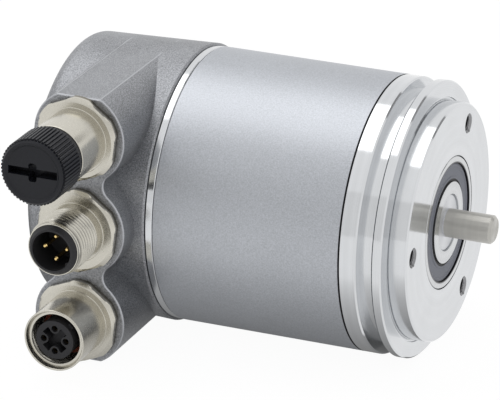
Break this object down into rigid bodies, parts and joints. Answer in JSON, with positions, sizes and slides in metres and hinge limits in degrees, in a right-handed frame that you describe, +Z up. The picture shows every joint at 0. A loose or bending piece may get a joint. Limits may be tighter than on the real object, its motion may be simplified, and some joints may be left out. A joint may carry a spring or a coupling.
{
  "type": "absolute rotary encoder",
  "caption": "Absolute rotary encoder with a servo flange, a plain round shaft, a cylindrical housing and a cast rear cap with three radial round connectors, one closed by a screw cap.",
  "frame": {"origin": "on the shaft axis, at the mounting shoulder behind the centring collar", "axes": "+X along the shaft, away from the housing; -Y the way the connectors point; +Z up, towards the capped connector"},
  "size_m": [0.093, 0.086, 0.059],
  "materials": {
    "turned_aluminium": "finely turned, bright",
    "satin_tube": "satin grey-silver coating with a fine grain",
    "cast_housing": "shot-blasted die casting, matt with a fine sparkle",
    "polished_steel": "ground and polished",
    "bearing_steel": "ground",
    "technical_plastic": "moulded, off-white",
    "shield_rubber": "smooth moulded rubber",
    "plated_steel": "zinc plated",
    "seal_rubber": "smooth",
    "red_seal_rubber": "smooth, red-orange",
    "disc_glass": "clear with printed tracks",
    "clear_plastic": "clear, polished",
    "circuit_board": "green solder resist",
    "chip_plastic": "moulded black",
    "nickel_shell": "nickel plated, satin, slightly warm",
    "insert_plastic": "moulded black",
    "gold_contacts": "gold plated",
    "cap_plastic": "moulded black, fluted",
    "brass_gear": "hobbed",
    "magnet": "sintered"
  },
  "bodies": {
    "housing": {"flange": "turned_aluminium", "tube_seal": "seal_rubber", "bearing_circlip": "plated_steel", "housing_tube": "satin_tube", "rear_ring": "turned_aluminium", "cap_seal": "seal_rubber", "rear_cap": "cast_housing", "cap_screws": "plated_steel", "front_bearing_outer_ring": "bearing_steel", "front_bearing_shields": "shield_rubber", "rear_bearing_outer_ring": "bearing_steel", "rear_bearing_shields": "shield_rubber", "light_holder": "technical_plastic", "light_source": "clear_plastic", "sensor_board": "circuit_board", "sensor_chip": "chip_plastic", "board_standoffs": "plated_steel", "board_screws": "plated_steel", "gear_frame": "technical_plastic", "gear_pins": "polished_steel", "turn_board": "circuit_board", "turn_sensors": "chip_plastic", "bus_board": "circuit_board", "board_headers": "chip_plastic", "bus_controller": "chip_plastic", "bus_transformers": "chip_plastic", "status_light_pipes": "clear_plastic", "supply_shell": "nickel_shell", "supply_insert": "insert_plastic", "supply_pins": "gold_contacts", "bus_in_shell": "nickel_shell", "bus_in_insert": "insert_plastic", "bus_in_contacts": "gold_contacts", "bus_out_shell": "nickel_shell", "bus_out_insert": "insert_plastic", "bus_out_contacts": "gold_contacts", "connector_seals": "seal_rubber", "face_seals": "red_seal_rubber", "connector_board": "circuit_board"},
    "rotor": {"shaft": "polished_steel", "front_bearing_inner_ring": "bearing_steel", "rear_bearing_inner_ring": "bearing_steel", "bearing_spacer": "polished_steel", "disc_hub": "polished_steel", "code_disc": "disc_glass", "disc_clamp_ring": "polished_steel", "shaft_pinion": "brass_gear"},
    "front_ball_train": {"front_bearing_cage": "technical_plastic", "front_bearing_balls": "bearing_steel"},
    "rear_ball_train": {"rear_bearing_cage": "technical_plastic", "rear_bearing_balls": "bearing_steel"},
    "counter_gear_1": {"turn_gear_1": "technical_plastic", "turn_magnet_1": "magnet"},
    "counter_gear_2": {"turn_gear_2": "technical_plastic", "turn_magnet_2": "magnet"},
    "counter_gear_3": {"turn_gear_3": "technical_plastic", "turn_magnet_3": "magnet"},
    "cap_seal_ring": {"screw_cap_seal": "seal_rubber"},
    "screw_cap": {"screw_cap": "cap_plastic"}
  },
  "joints": [
    {"name": "shaft_spin", "type": "hinge", "parent": "housing", "child": "rotor", "pos_m": [0, 0, 0], "axis": [1, 0, 0], "continuous": true},
    {"name": "front_balls_roll", "type": "hinge", "parent": "housing", "child": "front_ball_train", "pos_m": [0, 0, 0], "axis": [1, 0, 0], "continuous": true},
    {"name": "rear_balls_roll", "type": "hinge", "parent": "housing", "child": "rear_ball_train", "pos_m": [-0.022, 0, 0], "axis": [1, 0, 0], "continuous": true},
    {"name": "counter_gear_1_spin", "type": "hinge", "parent": "housing", "child": "counter_gear_1", "pos_m": [-0.04, 0, 0.012], "axis": [1, 0, 0], "continuous": true},
    {"name": "counter_gear_2_spin", "type": "hinge", "parent": "housing", "child": "counter_gear_2", "pos_m": [-0.04, 0.01039, 0.006], "axis": [1, 0, 0], "continuous": true},
    {"name": "counter_gear_3_spin", "type": "hinge", "parent": "housing", "child": "counter_gear_3", "pos_m": [-0.04, 0.01039, -0.006], "axis": [1, 0, 0], "continuous": true},
    {"name": "screw_cap_travel", "type": "slide", "parent": "housing", "child": "cap_seal_ring", "axis": [0, -1, 0], "range_m": [0, 0.006]},
    {"name": "screw_cap_turn", "type": "hinge", "parent": "cap_seal_ring", "child": "screw_cap", "pos_m": [-0.0638, -0.05, 0.02], "axis": [0, -1, 0], "range_deg": [0, 2165]}
  ],
  "couplings": [
    {"joint": "front_balls_roll", "follows": "shaft_spin", "ratio": 0.38095},
    {"joint": "rear_balls_roll", "follows": "shaft_spin", "ratio": 0.38095},
    {"joint": "counter_gear_1_spin", "follows": "shaft_spin", "ratio": -0.25},
    {"joint": "counter_gear_2_spin", "follows": "shaft_spin", "ratio": 0.0625},
    {"joint": "counter_gear_3_spin", "follows": "shaft_spin", "ratio": -0.015625},
    {"joint": "screw_cap_turn", "follows": "screw_cap_travel", "rad_per_m": 6283.2}
  ]
}
